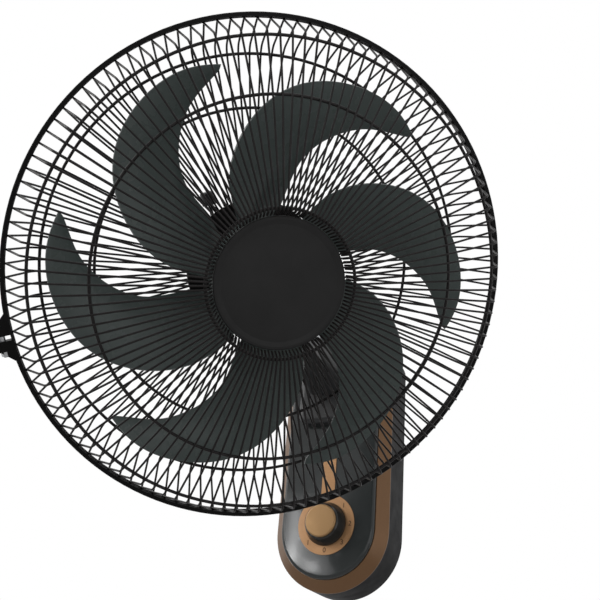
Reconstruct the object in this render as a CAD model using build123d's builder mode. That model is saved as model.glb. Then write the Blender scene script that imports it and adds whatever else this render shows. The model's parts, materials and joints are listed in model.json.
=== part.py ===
from build123d import *
import os
from math import asin, atan2, copysign, cos, hypot, pi, radians, sin

# Wall mounted fan. Millimetres, +Z up, the wall is the plane Y = 0 and the fan stands out to -Y.
# The origin is the centre of the wall screws. At rest the head is tilted down and swung to +X.

# --- Pose of the head at rest -------------------------------------------------------------------
rest_tilt = 44.36  # degrees that the head looks down
rest_swing = 35.58  # degrees that the head is turned towards +X
tilt_axis_reach = 184.0  # tilt bolt in front of the wall
tilt_axis_height = 85.0  # tilt bolt above the wall screws' centre
swing_axis_reach = 50.0  # swing pin in front of the tilt bolt, on an upright head
shaft_height = 100.0  # blade shaft above the tilt bolt, on an upright head
shaft_offset = 9.04  # the blade shaft stands beside the swing pin by this much
cage_reach = 92.0  # middle of the cage in front of the swing pin

# --- Clearances ---------------------------------------------------------------------------------
running_gap = 0.05  # radial, of a shaft in its bore
seam = 0.15  # between covers that meet
weld_gap = 0.05  # between a wire and the ring that it lies on
seat_gap = 0.1  # between flat faces that slide on each other

# --- Housing on the wall ------------------------------------------------------------------------
housing_half_width = 67.7
foot_centre_height = -93.5  # centre of the round foot
side_top_height = 115.0
crown_height = 150.0
crown_corner_radius = 25.0
housing_depth = 45.0
housing_wall = 2.5
band_height = 12.5
band_bevel = 11.5
band_pocket_inset = 7.0  # hollow at the back of the band
band_pocket_height = 4.4
shell_inset = 12.3
shell_front = 63.2  # front face of the glossy shell, from the wall
shell_edge_radius = 4.0
shell_tuck = 4.0  # how deep the shell reaches back behind the band's front edge

# --- Wall bracket -------------------------------------------------------------------------------
bracket_width = 92.0
bracket_height = 122.0
bracket_thickness = 2.0
bracket_corner = 8.0
bracket_recess = 4.0
bracket_room = 1.0  # gap round the bracket in its recess
wall_screw_radius = 2.75
wall_screw_spacing_x = 60.0
wall_screw_spacing_z = 90.0
hook_width = 12.0
hook_rise = 9.0
hook_spacing = 56.0
hook_height = 20.0  # underside of a hook, above the wall screws' centre
hook_gap = 0.3
hook_slot_play = 2.0  # more than the hook's width and rise

# --- Screws in the housing ----------------------------------------------------------------------
shell_screw_radius = 1.9
shell_screw_head_radius = 3.6
shell_screw_x = housing_half_width - 29.0
shell_screw_places = [
    (-shell_screw_x, foot_centre_height - 18.5),
    (shell_screw_x, foot_centre_height - 18.5),
    (-shell_screw_x, side_top_height - 17.0),
    (shell_screw_x, side_top_height - 17.0),
]
neck_screw_radius = 2.5
neck_screw_head_radius = 4.5
neck_screw_spacing = (44.0, 32.0)
neck_screw_height = 92.0  # middle of the four neck screws
neck_screw_places = [
    (side * neck_screw_spacing[0] / 2, neck_screw_height + level * neck_screw_spacing[1] / 2)
    for side in (-1, 1)
    for level in (-1, 1)
]
screw_head_height = 2.6
screw_counterbore = 20.0  # depth of a housing screw's well, from the wall
boss_wall = 2.6
screw_bite = 10.0  # how far a screw reaches into the piece that it holds
screw_post_length = 12.0  # of the narrow post above a shell screw's well
screw_end_room = 1.0  # beyond the end of a screw
neck_boss_cap = 3.0  # of solid boss beyond a neck screw's end

# --- Speed control ------------------------------------------------------------------------------
knob_height = foot_centre_height + 3.5  # middle of the dial
dial_radius = 33.7
dial_thickness = 0.8
strip_half_width = 8.0
strip_top = -8.0
skirt_base_radius = 24.0
skirt_top_radius = 20.0
skirt_height = 14.6
skirt_gap = 0.5
skirt_wall = 3.0
cap_radius = 18.0
cap_height = 17.3
cap_edge_radius = 1.6
skirt_foot = 2.0  # straight foot of the skirt, on the dial
skirt_bevel = 1.5
skirt_bush_room = 0.65  # between the skirt's boss and the switch's bush
spindle_short = 3.0  # the spindle ends this much below the skirt's top
bush_past_nut = 1.0
spindle_radius = 3.0
bush_radius = 5.0
bush_gap = 0.2
switch_side = 34.0
switch_depth = 16.0
switch_nut_radius = 9.0
switch_nut_height = 2.6
switch_corner = 3.0

# --- Neck that carries the head -----------------------------------------------------------------
neck_base_width = 80.0
neck_base_bottom = 26.0
neck_base_top = 125.0
neck_base_proud = 14.0
neck_base_corner = 12.0
neck_base_edge = 7.0
cable_hole_radius = 7.0  # from the housing into the neck
arm_root_size = (62.0, 66.0)
arm_root_height = 91.0
arm_middle_reach = 112.0
arm_middle_size = (55.0, 55.0)
arm_middle_height = 90.0
arm_end_reach = 160.0
arm_end_size = (46.0, 40.0)
arm_corner = 14.0
arm_wall = 4.0
ear_radius = 20.0
ear_thickness = 10.0
ear_overlap = 2.0  # of the ears with the arm's end
ear_room = 1.0  # round the ears' slot
knuckle_radius = 17.5
knuckle_half_width = 11.6
washer_thickness = 0.8
washer_radius = 15.0
tilt_bolt_radius = 4.0
tilt_bolt_head_radius = 7.5
tilt_bolt_head_height = 5.0
tilt_nut_radius = 13.0
tilt_nut_height = 12.0
tilt_nut_lobes = 6
tilt_nut_scallop = tilt_nut_radius / 4
tilt_nut_cap = 2.0  # solid end of the tilt nut

# --- Elbow between tilt and swing ---------------------------------------------------------------
table_radius = 22.0
table_top = 15.0  # above the tilt bolt
table_bottom = -13.0
elbow_beam_half_height = 12.0
elbow_edge = 2.5
swing_pin_radius = 6.0
swing_pin_flange_radius = 10.0
swing_pin_flange_height = 4.0
thrust_washer_thickness = 3.0
swing_boss_radius = 12.0
swing_boss_top = 45.0  # above the tilt bolt
swing_nut_height = 5.0
swing_nut_radius = 9.0
link_pivot_radius = 18.0  # link's fixed pin, beside the swing pin
link_post_radius = 3.6
link_post_top = 39.0
link_pin_radius = 2.0
link_pin_top = 43.6
link_pin_head = 1.4  # how far its head stands out all round

# --- Motor, along the blade shaft; depths are behind the middle of the cage ----------------------
motor_radius = 44.0
motor_front = 48.6
motor_face_thickness = 3.4
front_shield_rear = 64.0
stator_rear = 92.0
rear_shield_rear = 107.5
shield_wall = 3.5
bearing_seat = 1.5  # lip and offset of the bearings' seats
shaft_room = 2.0  # round the shaft, at the rear shield
leg_sink = 8.0  # how deep the rear shield's leg runs up into its drum
leg_room = 5.0  # cleared beyond the swing boss
rear_room = 40.0  # cleared behind the rear bearing's wall
swing_nut_room = 0.6
stator_radius = 43.6
rotor_radius = 22.5
air_gap = 0.5
winding_inner_radius = 26.0
winding_outer_radius = 37.5
winding_depth = 9.0
winding_edge = winding_depth / 4
collar_radius = 22.0
collar_front = 37.0
guard_nut_radius = 34.0
guard_nut_grips = 12
shaft_radius = 4.0
bearing_radius = 9.0
bearing_length = 8.0
shaft_front = 30.0  # in front of the middle of the cage
shaft_rear = 146.5
motor_screw_circle = 47.7
motor_screw_radius = 2.0
motor_screw_count = 4
motor_lug_radius = 4.4
motor_lug_sink = 1.0  # of the lugs' roots in the motor's wall
motor_nut_share = 1.8  # of the motor screws' radius
screw_turn = 45.0  # degrees, direction of the first motor screw
cover_radius = 54.5
cover_wall = 2.0
cover_front = 54.0
cover_bend = 126.0
cover_rear = 162.0
cover_rear_radius = 40.0
cover_gate_x = (-24.0, 27.0)  # opening under the cover, for the neck and the link
cover_gate_depth = (74.0, 156.0)
cover_slots = 9
cover_slot_width = 3.0
cover_slot_pitch = 7.2
cover_slot_length = 44.0
clutch_hole_room = 1.0

# --- Swing gearing ------------------------------------------------------------------------------
gear_module = 1.0
pinion_teeth = 8
crank_teeth = 28
wheel_teeth = 22
gear_width = 6.0
tooth_addendum = 0.75  # shares of the module
tooth_dedendum = 1.05
tooth_root_share = 0.30  # half widths, as shares of the teeth's pitch
tooth_tip_share = 0.12
worm_radius = 4.9
worm_turns = 5
worm_base_width = 1.3
worm_tip_width = 0.7
worm_sink = 0.3  # of the thread's root in the shaft
wheel_axis_x = -16.0
crank_axis_x = 2.0
crank_axis_depth = 135.0
crank_gear_top = -34.0  # below the blade shaft
crank_radius = 11.42
crank_shaft_radius = 3.0
crank_disc_radius = 15.0
crank_disc_thickness = 4.0
crank_phase = 251.9  # degrees, direction of the crank pin at rest
link_length = 43.57
link_phase = -84.7  # degrees, direction of the link at rest
link_thickness = 3.0
link_half_width = 4.0
link_sag = 4.5  # bow of the link, away from the swing pin
link_pivot_boss = 5.5
link_eye_radius = 4.8
link_eye_wall = 3.0
link_play = 0.15  # above and below the link
crank_pin_radius = 2.0
crank_collar_height = 1.2
crank_collar_lip = 1.6  # beyond the link's eye
case_wall = 2.6
case_bottom = -46.0
case_rear = 152.0
case_upper_x = (-31.0, 13.5)
case_upper_y = (-15.0, 17.0)
case_column_radius = 7.6
case_edge_radius = 3.0
case_overlap = 1.0  # of the pinion's column with the upper case
gear_room = 0.6  # round the gears in their case
spindle_top = 5.0  # above the blade shaft
clutch_rod_radius = 2.0
clutch_travel = 8.0
clutch_rod_gap = 0.4
clutch_knob_bottom = 62.0  # drawn up, above the blade shaft
clutch_knob_radius = 7.5
clutch_knob_height = 14.0
clutch_rod_sink = 3.0  # of the rod in its knob
clutch_knob_edge = 2.0
pinion_spindle_radius = 2.5

# --- Guard cage, in radius and in height before (+) or behind (-) the middle of the cage ---------
hoop_radius = 229.2
hoop_middle = 3.65  # the hoop stands before the middle of the cage by this much
hoop_half_depth = 4.65
hoop_strap = 1.6
hoop_flange = 1.2
hoop_lip_radius = hoop_radius - 3.9  # edge of the hoop's two flanges
hoop_edge = 0.6
hoop_front = hoop_middle + hoop_half_depth
hoop_rear = hoop_middle - hoop_half_depth
clamp_turn = -2.0  # degrees, from straight beside the blade shaft
clamp_gap = 4.5
lug_reach = 18.0
lug_thickness = 9.0
lug_gusset = 18.5
lug_half_depth = 4.2
clamp_screw_radius = 2.6
clamp_screw_offset = 5.6  # beyond the hoop
clamp_head_share = 1.6  # of the clamp screw's radius
clamp_well_share = 1.7
clamp_nut_height = 4.0
clamp_screw_end = 1.0  # of the screw beyond its nut
clamp_head_edge = 1.5
wire_radius = 0.95
wires_per_guard = 120
wire_past_rim = 0.8  # of a wire beyond the rim ring that it lies against
ring_wire_radius = 1.4
rim_wire_radius = 1.3
rim_room = 0.1  # between a rim ring and the hoop's strap
flange_room = 0.3  # between a rim ring and the hoop's flange
rim_radius = hoop_radius - hoop_strap - rim_room - rim_wire_radius
front_rim_height = hoop_front - hoop_flange - flange_room - rim_wire_radius
rear_rim_height = hoop_rear + hoop_flange + flange_room + rim_wire_radius
disc_radius = 57.5
disc_front = 61.2
disc_thickness = 4.0
disc_rim = 7.0  # width of the raised border, with its slope
disc_slope = 4.0
disc_edge = 0.8
disc_dish = 1.0  # depth of the flat middle below the border
disc_lip = 2.0  # thickness of the turned back edge
disc_sheet = 1.8
plate_radius = 66.0
plate_thickness = 2.0
front_shoulder = (hoop_radius - 17.9, hoop_front + 32.5)
front_inner = (disc_radius + 5.1, disc_front + 8.1)
front_middle = (front_inner[0] + 0.634 * (front_shoulder[0] - front_inner[0]), 56.2)
front_end = (disc_radius + 1.25, disc_front - 0.9)
front_bends = [7.0, 160.0, 2.6]
front_ring_radii = [front_shoulder[0] - 5.3, front_middle[0], front_inner[0] + 1.8]
rear_shoulder = (hoop_radius - 23.9, hoop_rear - 34.9)
rear_end = (plate_radius + 0.25, plate_thickness / 2 - motor_front)
rear_middle = (rear_end[0] + 0.61 * (rear_shoulder[0] - rear_end[0]), -43.2)
rear_bends = [14.0, 160.0]
rear_ring_radii = [rear_shoulder[0] - 6.3, rear_middle[0]]
ring_fit_steps = 30  # halvings, to find where a ring touches the wires

# --- Impeller -----------------------------------------------------------------------------------
blade_count = 6
blade_phase = 88.1  # degrees, direction of one blade's tip
blade_thickness = 2.2
blade_camber = 0.05  # rise of the middle of a blade's section, as a share of its chord
blade_root_sink = 5.0  # how deep a blade's root lies in the hub
# Each station: leading edge (share of the way from the root to the hoop, degrees behind the tip),
# then trailing edge, then the heights of both edges.
blade_stations = [
    ((0.762, 0.4), (0.782, -0.2), -2.5, -1.5),
    ((0.727, 3.4), (0.800, 7.6), -4.0, 4.0),
    ((0.652, 11.0), (0.782, 21.0), -7.0, 5.0),
    ((0.555, 18.2), (0.715, 34.4), -10.0, 6.0),
    ((0.430, 25.2), (0.607, 46.2), -13.5, 8.0),
    ((0.293, 29.4), (0.455, 57.8), -17.0, 10.0),
    ((0.143, 31.2), (0.255, 69.6), -20.0, 12.5),
    ((0.0, 32.0), (0.0, 80.0), -21.0, 14.0),
]
hub_radius = 50.0
hub_rear = -22.0
hub_front = 22.0
hub_wall = 2.6
hub_edge_radius = 7.0
hub_boss_radius = 10.0
hub_ribs = 6
drive_pin_radius = 1.5
drive_pin_length = 18.0
drive_pin_height = -20.5
drive_pin_room = 1.0  # beyond each end of the pin
pin_bore_past = 1.0  # of the pin's bore beyond the shaft
spinner_radius = 16.0
spinner_height = 18.0
# Outline of the spinner nut's nose, as shares of its radius and its height.
spinner_nose = [(1.0, 0.5), (0.8, 0.85), (0.5, 1.0)]
grip_share = 0.1  # of the guard nut's radius
grip_offset = 1.0

# --- Small electrical pieces --------------------------------------------------------------------
capacitor_size = (38.0, 16.0, 26.0)
capacitor_place = (0.0, -28.0)
terminal_size = (30.0, 14.0, 18.0)
terminal_place = (0.0, foot_centre_height - 44.5)
terminal_count = 3
grommet_radius = 7.0
grommet_lip = 2.0
grommet_proud = 3.0  # how far it stands into the housing
grommet_height = -80.0


# --- Frames of the housing, the elbow and the head ----------------------------------------------
tilt_turn = radians(rest_tilt)
swing_turn = radians(rest_swing)
head_up = Vector(0, -sin(tilt_turn), cos(tilt_turn))
elbow_forward = Vector(0, -cos(tilt_turn), -sin(tilt_turn))
head_right = Vector(1, 0, 0) * cos(swing_turn) - elbow_forward * sin(swing_turn)
head_forward = Vector(1, 0, 0) * sin(swing_turn) + elbow_forward * cos(swing_turn)
tilt_point = Vector(0, -tilt_axis_reach, tilt_axis_height)
swing_point = tilt_point + elbow_forward * swing_axis_reach + head_up * shaft_height
cage_point = swing_point + head_forward * cage_reach - head_right * shaft_offset

WALL = Plane(origin=(0, 0, 0), x_dir=(1, 0, 0), z_dir=(0, -1, 0))
NECK_SIDE = Plane(origin=(0, 0, 0), x_dir=(0, -1, 0), z_dir=(-1, 0, 0))
ELBOW_SIDE = Plane(origin=tilt_point, x_dir=elbow_forward, z_dir=(-1, 0, 0))
HEAD = Plane(origin=cage_point, x_dir=head_right, z_dir=head_forward)
HEAD_PROFILE = Plane(origin=cage_point, x_dir=head_right, z_dir=-head_up)
SHAFT_AXIS = Axis(cage_point, head_forward)
clamp_right = head_right.rotate(SHAFT_AXIS, clamp_turn)
clamp_up = head_up.rotate(SHAFT_AXIS, clamp_turn)
clamp_middle = cage_point + head_forward * hoop_middle
CLAMP = Plane(origin=clamp_middle, x_dir=clamp_right, z_dir=head_forward)


def head_level(height):
    """A plane square to the head's upright, at a height above the blade shaft."""
    return Plane(origin=cage_point + head_up * height, x_dir=head_right, z_dir=head_up)


def head_place(level, x, depth):
    """The same plane with its origin beside and behind the middle of the cage."""
    return Plane(origin=level.origin + head_right * x - head_forward * depth,
                 x_dir=head_right, z_dir=head_up)


def elbow_place(height, x, reach):
    """A plane square to the head's upright, placed from the tilt bolt."""
    return Plane(origin=tilt_point + Vector(x, 0, 0) + elbow_forward * reach + head_up * height,
                 x_dir=(1, 0, 0), z_dir=head_up)


def across_tilt_bolt(x):
    """A plane square to the tilt bolt, with its normal towards +X."""
    return Plane(origin=tilt_point + Vector(x, 0, 0), x_dir=(0, 1, 0), z_dir=(1, 0, 0))


def beside_clamp(height):
    """A plane square to the clamp screw, at a height above the middle of the clamp's gap."""
    reach = hoop_radius + clamp_screw_offset
    return Plane(origin=clamp_middle - clamp_right * reach + clamp_up * height,
                 x_dir=clamp_right, z_dir=clamp_up)


def around_shaft(piece, count):
    """Copies of a piece spread evenly about the blade shaft."""
    return [piece.rotate(SHAFT_AXIS, index * 360 / count) for index in range(count)]


def write(piece, name):
    """Labels a finished piece and writes its file."""
    piece.part.label = name
    export_step(piece.part, f"parts/{name}.step")


def housing_outline(depth, inset):
    """The housing's outline at a depth from the wall, drawn in by an inset."""
    with BuildSketch(WALL.offset(depth)) as outline:
        with BuildLine():
            foot = ThreePointArc(
                (-housing_half_width, foot_centre_height),
                (0, foot_centre_height - housing_half_width),
                (housing_half_width, foot_centre_height),
            )
            right = Line(foot @ 1, (housing_half_width, side_top_height))
            crown = ThreePointArc(
                right @ 1, (0, crown_height), (-housing_half_width, side_top_height)
            )
            Line(crown @ 1, foot @ 0)
        make_face()
        fillet(outline.vertices().group_by(Axis.Y)[-1], crown_corner_radius)
        if inset:
            offset(amount=-inset, mode=Mode.REPLACE)
    return outline.sketch


def profile(points):
    """A closed flat profile in the plane through the blade shaft, as radius and height."""
    with BuildSketch(HEAD_PROFILE) as section:
        with BuildLine():
            Polyline(*points, close=True)
        make_face()
    return section.sketch


def toothed_disc(plane, teeth, width, bore, turn=0.0):
    """A spur gear of straight-sided teeth, made on a plane."""
    pitch_radius = gear_module * teeth / 2
    tip_radius = pitch_radius + tooth_addendum * gear_module
    root_radius = pitch_radius - tooth_dedendum * gear_module
    root_half = tooth_root_share * 360 / teeth
    tip_half = tooth_tip_share * 360 / teeth
    corners = []
    for tooth in range(teeth):
        middle = turn + tooth * 360 / teeth
        for radius, angle in (
            (root_radius, middle - root_half),
            (tip_radius, middle - tip_half),
            (tip_radius, middle + tip_half),
            (root_radius, middle + root_half),
        ):
            corners.append((radius * cos(radians(angle)), radius * sin(radians(angle))))
    with BuildPart() as gear:
        with BuildSketch(plane):
            with BuildLine():
                Polyline(*corners, close=True)
            make_face()
            Circle(bore, mode=Mode.SUBTRACT)
        extrude(amount=width)
    return gear.part


os.makedirs("parts", exist_ok=True)

# === Housing ====================================================================================
panel_front = bracket_recess + housing_wall
hook_xs = [-hook_spacing / 2, hook_spacing / 2]
hook_reach = panel_front + hook_gap + bracket_thickness
shell_post_top = screw_counterbore + screw_post_length

with BuildPart() as wall_bracket:
    with BuildSketch(WALL):
        RectangleRounded(bracket_width, bracket_height, bracket_corner)
        with GridLocations(wall_screw_spacing_x, wall_screw_spacing_z, 2, 2):
            Circle(wall_screw_radius, mode=Mode.SUBTRACT)
    extrude(amount=bracket_thickness)
    with BuildSketch(WALL.offset(bracket_thickness)):
        with Locations(*[(x, hook_height) for x in hook_xs]):
            Rectangle(hook_width, bracket_thickness, align=(Align.CENTER, Align.MIN))
    extrude(amount=hook_reach - bracket_thickness)
    with BuildSketch(WALL.offset(hook_reach - bracket_thickness)):
        with Locations(*[(x, hook_height) for x in hook_xs]):
            Rectangle(hook_width, hook_rise, align=(Align.CENTER, Align.MIN))
    extrude(amount=bracket_thickness)
write(wall_bracket, "wall_bracket")

with BuildPart() as back_housing:
    extrude(housing_outline(0, 0), amount=housing_depth)
    extrude(
        housing_outline(housing_wall, housing_wall), amount=housing_depth, mode=Mode.SUBTRACT
    )
    with BuildSketch(WALL.offset(housing_wall)):
        RectangleRounded(
            bracket_width + 2 * (bracket_room + housing_wall),
            bracket_height + 2 * (bracket_room + housing_wall),
            bracket_corner + housing_wall,
        )
    extrude(amount=panel_front - housing_wall)
    with BuildSketch(WALL):
        RectangleRounded(
            bracket_width + 2 * bracket_room, bracket_height + 2 * bracket_room, bracket_corner
        )
    extrude(amount=bracket_recess, mode=Mode.SUBTRACT)
    with BuildSketch(WALL):
        with Locations(*[(x, hook_height + bracket_thickness + hook_gap) for x in hook_xs]):
            Rectangle(
                hook_width + hook_slot_play,
                hook_rise + bracket_thickness + hook_slot_play / 2,
                align=(Align.CENTER, Align.MAX),
            )
    extrude(amount=2 * panel_front, mode=Mode.SUBTRACT)
    for places, shank, head, top in (
        (shell_screw_places, shell_screw_radius, shell_screw_head_radius, shell_post_top),
        (neck_screw_places, neck_screw_radius, neck_screw_head_radius, shell_front - housing_wall),
    ):
        with BuildSketch(WALL.offset(housing_wall)):
            with Locations(*places):
                Circle(head + boss_wall)
        extrude(amount=screw_counterbore + boss_wall - housing_wall)
        with BuildSketch(WALL.offset(screw_counterbore)):
            with Locations(*places):
                Circle(shank + boss_wall)
        extrude(amount=top - screw_counterbore)
        with BuildSketch(WALL):
            with Locations(*places):
                Circle(shank + running_gap)
        extrude(amount=top, mode=Mode.SUBTRACT)
        with BuildSketch(WALL):
            with Locations(*places):
                Circle(head + 2 * seam)
        extrude(amount=screw_counterbore, mode=Mode.SUBTRACT)
    with BuildSketch(WALL):
        with Locations((0, grommet_height)):
            Circle(grommet_radius)
    extrude(amount=housing_wall, mode=Mode.SUBTRACT)
write(back_housing, "back_housing")

with BuildPart() as trim_band:
    extrude(housing_outline(housing_depth, 0), amount=band_height)
    chamfer(trim_band.faces().sort_by(Axis.Y)[0].edges(), band_bevel)
    extrude(
        housing_outline(housing_depth, shell_inset - seam),
        amount=band_height,
        mode=Mode.SUBTRACT,
    )
    extrude(
        housing_outline(housing_depth, band_pocket_inset),
        amount=band_pocket_height,
        mode=Mode.SUBTRACT,
    )
write(trim_band, "trim_band")

shell_back = housing_depth + band_height - shell_tuck
shell_thickness = housing_wall
with BuildPart() as front_shell:
    extrude(housing_outline(shell_back, shell_inset), amount=shell_front - shell_back)
    fillet(front_shell.faces().sort_by(Axis.Y)[0].edges(), shell_edge_radius)
    extrude(
        housing_outline(shell_back, shell_inset + shell_thickness),
        amount=shell_front - shell_back - shell_thickness,
        mode=Mode.SUBTRACT,
    )
    boss_back = shell_post_top + seam
    with BuildSketch(WALL.offset(boss_back)):
        with Locations(*shell_screw_places):
            Circle(shell_screw_radius + boss_wall)
    extrude(amount=shell_front - shell_thickness - boss_back)
    with BuildSketch(WALL.offset(boss_back)):
        with Locations(*shell_screw_places):
            Circle(shell_screw_radius + running_gap)
    extrude(amount=screw_bite + screw_end_room, mode=Mode.SUBTRACT)
    with BuildSketch(WALL.offset(shell_back)):
        with Locations(*neck_screw_places):
            Circle(neck_screw_radius + running_gap)
        with Locations((0, knob_height)):
            Circle(bush_radius + bush_gap)
        with Locations((0, arm_root_height)):
            Circle(cable_hole_radius)
    extrude(amount=shell_front - shell_back, mode=Mode.SUBTRACT)
write(front_shell, "front_shell")


def housing_screws(places, radius, head_radius, bore_end, bite):
    """A set of like screws, driven from the wall's side."""
    with BuildPart() as screws:
        with BuildSketch(WALL.offset(screw_counterbore - screw_head_height)):
            with Locations(*places):
                Circle(head_radius)
        extrude(amount=screw_head_height)
        with BuildSketch(WALL.offset(screw_counterbore)):
            with Locations(*places):
                Circle(radius)
        extrude(amount=bore_end + bite - screw_counterbore)
        with BuildSketch(WALL.offset(screw_counterbore - screw_head_height)):
            with Locations(*places):
                Rectangle(head_radius, radius / 2)
                Rectangle(radius / 2, head_radius)
        extrude(amount=screw_head_height / 2, mode=Mode.SUBTRACT)
    return screws


shell_screws = housing_screws(
    shell_screw_places, shell_screw_radius, shell_screw_head_radius, boss_back, screw_bite
)
write(shell_screws, "shell_screws")
neck_screws = housing_screws(
    neck_screw_places, neck_screw_radius, neck_screw_head_radius, shell_front, screw_bite
)
write(neck_screws, "neck_screws")

with BuildPart() as cable_grommet:
    with BuildSketch(WALL):
        with Locations((0, grommet_height)):
            Circle(grommet_radius - running_gap)
    extrude(amount=housing_wall + grommet_proud)
    with BuildSketch(WALL.offset(housing_wall + seat_gap)):
        with Locations((0, grommet_height)):
            Circle(grommet_radius + grommet_lip)
    extrude(amount=grommet_lip)
    with BuildSketch(WALL):
        with Locations((0, grommet_height)):
            Circle(grommet_radius - grommet_lip)
    extrude(amount=housing_wall + grommet_proud, mode=Mode.SUBTRACT)
write(cable_grommet, "cable_grommet")

# === Speed control ==============================================================================
dial_face = shell_front + dial_thickness
with BuildPart() as dial_plate:
    with BuildSketch(WALL.offset(shell_front)):
        with Locations((0, knob_height)):
            Circle(dial_radius)
        with Locations((0, knob_height)):
            Rectangle(
                2 * strip_half_width, strip_top - knob_height, align=(Align.CENTER, Align.MIN)
            )
        with Locations((0, knob_height)):
            Circle(bush_radius + bush_gap, mode=Mode.SUBTRACT)
    extrude(amount=dial_thickness)
write(dial_plate, "dial_plate")

shell_inside = shell_front - shell_thickness
knob_seat = dial_face + skirt_gap
spindle_end = dial_face + skirt_height - spindle_short
bush_end = dial_face + switch_nut_height + bush_past_nut
with BuildPart() as rotary_switch:
    with BuildSketch(WALL.offset(shell_inside - switch_depth)):
        with Locations((0, knob_height)):
            RectangleRounded(switch_side, switch_side, switch_corner)
    extrude(amount=switch_depth)
    with BuildSketch(WALL.offset(shell_inside)):
        with Locations((0, knob_height)):
            Circle(bush_radius)
    extrude(amount=bush_end - shell_inside)
    with BuildSketch(WALL.offset(shell_inside - switch_depth / 2)):
        with Locations((0, knob_height)):
            Circle(spindle_radius + running_gap)
    extrude(amount=bush_end - shell_inside + switch_depth / 2, mode=Mode.SUBTRACT)
write(rotary_switch, "rotary_switch")

with BuildPart() as switch_nut:
    with BuildSketch(WALL.offset(dial_face)):
        with Locations((0, knob_height)):
            RegularPolygon(switch_nut_radius, 6)
            Circle(bush_radius + running_gap, mode=Mode.SUBTRACT)
    extrude(amount=switch_nut_height)
write(switch_nut, "switch_nut")

with BuildPart() as switch_spindle:
    with BuildSketch(WALL.offset(shell_inside - switch_depth / 2 + seam)):
        with Locations((0, knob_height)):
            Circle(spindle_radius)
    extrude(amount=spindle_end - shell_inside + switch_depth / 2 - seam)
write(switch_spindle, "switch_spindle")

skirt_profile_plane = Plane(origin=(0, 0, knob_height), x_dir=(1, 0, 0), z_dir=(0, 0, 1))
knob_axis = Axis((0, 0, knob_height), (0, -1, 0))
skirt_boss_end = bush_end + skirt_bush_room
skirt_top = dial_face + skirt_height
with BuildPart() as knob_skirt:
    with BuildSketch(skirt_profile_plane):
        with BuildLine():
            Polyline(
                (spindle_radius + running_gap, -skirt_boss_end),
                (bush_radius + skirt_wall, -skirt_boss_end),
                (bush_radius + skirt_wall, -skirt_top + skirt_wall),
                (skirt_top_radius - skirt_wall, -skirt_top + skirt_wall),
                (skirt_base_radius - skirt_wall, -knob_seat),
                (skirt_base_radius, -knob_seat),
                (skirt_base_radius, -knob_seat - skirt_foot),
                (skirt_top_radius, -skirt_top + skirt_bevel),
                (skirt_top_radius - skirt_bevel, -skirt_top),
                (0, -skirt_top),
                (0, -spindle_end - seam),
                (spindle_radius + running_gap, -spindle_end - seam),
                close=True,
            )
        make_face()
    revolve(axis=knob_axis)
write(knob_skirt, "knob_skirt")

cap_front = dial_face + cap_height
with BuildPart() as knob_cap:
    with BuildSketch(WALL.offset(skirt_top)):
        with Locations((0, knob_height)):
            Circle(cap_radius)
    extrude(amount=cap_front - skirt_top)
    fillet(knob_cap.faces().sort_by(Axis.Y)[0].edges(), cap_edge_radius)
write(knob_cap, "knob_cap")

with BuildPart() as run_capacitor:
    with BuildSketch(WALL.offset(panel_front)):
        with Locations(capacitor_place):
            RectangleRounded(capacitor_size[0], capacitor_size[1], switch_corner)
    extrude(amount=capacitor_size[2])
write(run_capacitor, "run_capacitor")

with BuildPart() as terminal_block:
    with BuildSketch(WALL.offset(housing_wall)):
        with Locations(terminal_place):
            Rectangle(terminal_size[0], terminal_size[1])
    extrude(amount=terminal_size[2])
    with BuildSketch(WALL.offset(housing_wall + terminal_size[2])):
        with Locations(terminal_place):
            with GridLocations(terminal_size[0] / terminal_count, 0, terminal_count, 1):
                Circle(switch_corner)
    extrude(amount=-terminal_size[2] / 2, mode=Mode.SUBTRACT)
write(terminal_block, "terminal_block")

# === Neck =======================================================================================
ear_inner = knuckle_half_width + washer_thickness + 2 * seat_gap
ear_outer = ear_inner + ear_thickness


def arm_section(reach, size, height, inset):
    """One rounded section of the arm, square to the wall's normal."""
    with BuildSketch(WALL.offset(reach)) as section:
        with Locations((0, height)):
            RectangleRounded(size[0] - 2 * inset, size[1] - 2 * inset, arm_corner - inset)
    return section.sketch


def arm_body(inset, front):
    """The arm's tapering body, from the shell to its end, drawn in by an inset."""
    with BuildPart() as body:
        loft(
            [
                arm_section(shell_front, arm_root_size, arm_root_height, inset),
                arm_section(arm_middle_reach, arm_middle_size, arm_middle_height, inset),
                arm_section(front, arm_end_size, tilt_axis_height, inset),
            ]
        )
    return body.part


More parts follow.
